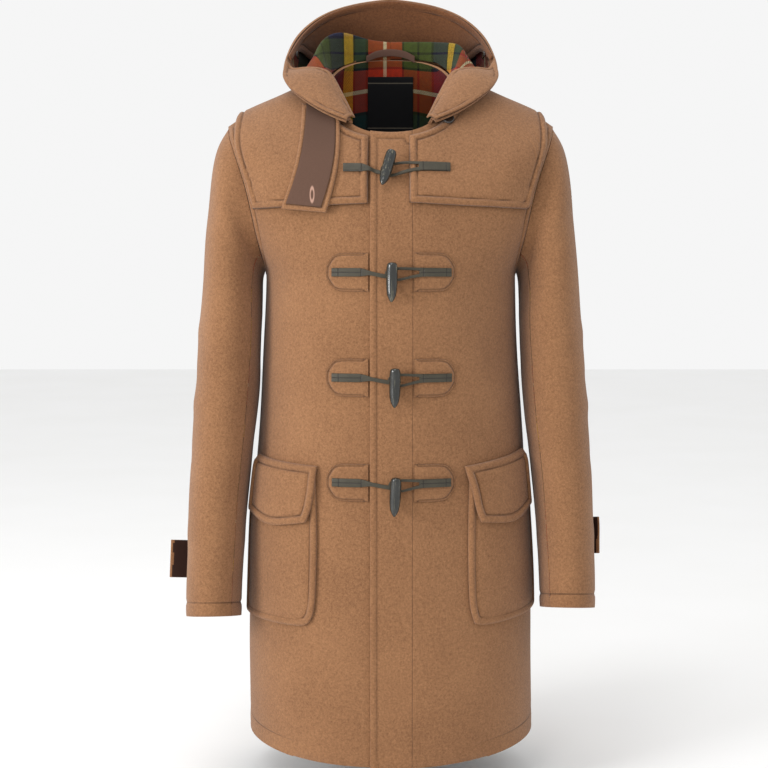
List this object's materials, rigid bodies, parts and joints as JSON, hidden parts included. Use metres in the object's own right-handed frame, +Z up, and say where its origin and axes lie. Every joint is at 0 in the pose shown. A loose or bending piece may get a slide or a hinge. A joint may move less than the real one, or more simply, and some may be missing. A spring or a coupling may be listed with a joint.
{
  "type": "hooded duffle coat",
  "caption": "Mid-length hooded duffle coat, filled out as worn, with a shoulder yoke, toggle and loop fastenings, flap pockets and buttoned cuff tabs.",
  "frame": {"origin": "on the neckline, midway between the two side neck points, where the wearer's shoulders carry the coat", "axes": "+Z up, -Y towards the coat's front, +X towards the wearer's left"},
  "size_m": [0.5939, 0.3928, 1.0343],
  "materials": {
    "wool": "brushed double-faced wool",
    "facing_wool": "brushed wool facing",
    "patch_wool": "brushed wool, stitched",
    "leather": "matt, grooved",
    "horn": "polished horn, streaked",
    "binding": "plain lining cloth",
    "label": "woven, bare",
    "button": "dark horn"
  },
  "bodies": {
    "root": {"front_right": "wool", "front_left": "wool", "back": "wool", "shoulder_yoke": "wool", "sleeve_upper_right": "wool", "sleeve_upper_left": "wool", "sleeve_under_right": "wool", "sleeve_under_left": "wool", "hood_right": "wool", "hood_left": "wool", "hood_facing_right": "wool", "hood_facing_left": "wool", "front_band": "wool", "pocket_right": "wool", "pocket_left": "wool", "pocket_flap_right": "wool", "pocket_flap_left": "wool", "throat_tab": "wool", "cuff_tab_right": "wool", "cuff_tab_left": "wool", "hood_facing_top": "facing_wool", "toggle_patch_right_2": "patch_wool", "toggle_patch_right_3": "patch_wool", "toggle_patch_right_4": "patch_wool", "toggle_patch_left_2": "patch_wool", "toggle_patch_left_3": "patch_wool", "toggle_patch_left_4": "patch_wool", "toggle_strap_1": "leather", "toggle_strap_2": "leather", "toggle_strap_3": "leather", "toggle_strap_4": "leather", "toggle_loop_1": "leather", "toggle_loop_2": "leather", "toggle_loop_3": "leather", "toggle_loop_4": "leather", "toggle_1": "horn", "toggle_2": "horn", "toggle_3": "horn", "toggle_4": "horn", "throat_tab_backing": "binding", "hanger_loop": "binding", "neck_label": "label", "throat_tab_button": "button", "cuff_button_right": "button", "cuff_button_left": "button", "hood_snap_right": "button", "hood_snap_left": "button"}
  },
  "joints": []
}
